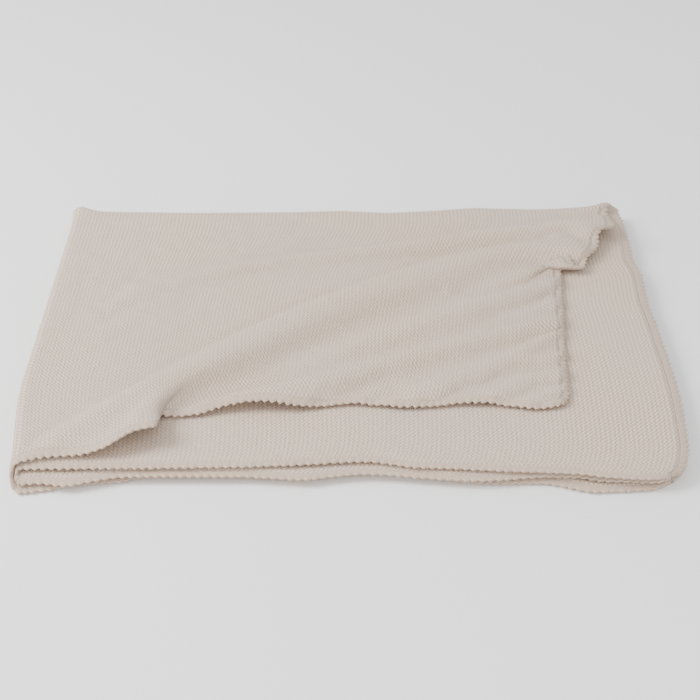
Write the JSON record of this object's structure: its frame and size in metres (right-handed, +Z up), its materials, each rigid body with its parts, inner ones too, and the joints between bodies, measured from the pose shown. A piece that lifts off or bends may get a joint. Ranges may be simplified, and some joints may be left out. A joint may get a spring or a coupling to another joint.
{
  "type": "folded throw blanket",
  "caption": "Rib-knit throw blanket with a picot border, folded in quarters, with the loose top corner drawn back into a soft ridge.",
  "frame": {"origin": "on the surface it lies on, under the middle of the folded pile's outline", "axes": "+X from the left fold to the open right side, +Y from the open front to the back folds, +Z up"},
  "size_m": [0.503, 0.4306, 0.0322],
  "materials": {
    "rib_knit": "matte natural off-white rib knit",
    "picot_border": "matte natural off-white picot edging"
  },
  "bodies": {
    "lower_half": {"bottom_layer": "rib_knit", "second_layer": "rib_knit", "bottom_front_border": "picot_border", "bottom_side_border": "picot_border", "second_front_border": "picot_border", "second_side_border": "picot_border", "outer_left_fold_lower": "rib_knit", "outer_left_border_lower": "picot_border", "inner_left_fold_lower": "rib_knit", "inner_left_border_lower": "picot_border", "lower_back_fold": "rib_knit", "lower_back_border": "picot_border"},
    "upper_half": {"third_layer": "rib_knit", "top_layer": "rib_knit", "third_front_border": "picot_border", "third_side_border": "picot_border", "top_front_border": "picot_border", "top_side_border": "picot_border", "outer_left_fold_upper": "rib_knit", "outer_left_border_upper": "picot_border", "inner_left_fold_upper": "rib_knit", "inner_left_border_upper": "picot_border", "upper_back_fold": "rib_knit", "upper_back_border": "picot_border"}
  },
  "joints": [
    {"name": "left_fold", "type": "hinge", "parent": "lower_half", "child": "upper_half", "pos_m": [-0.2517, 0, 0.00835], "axis": [0, -1, 0], "range_deg": [0, 180]}
  ]
}
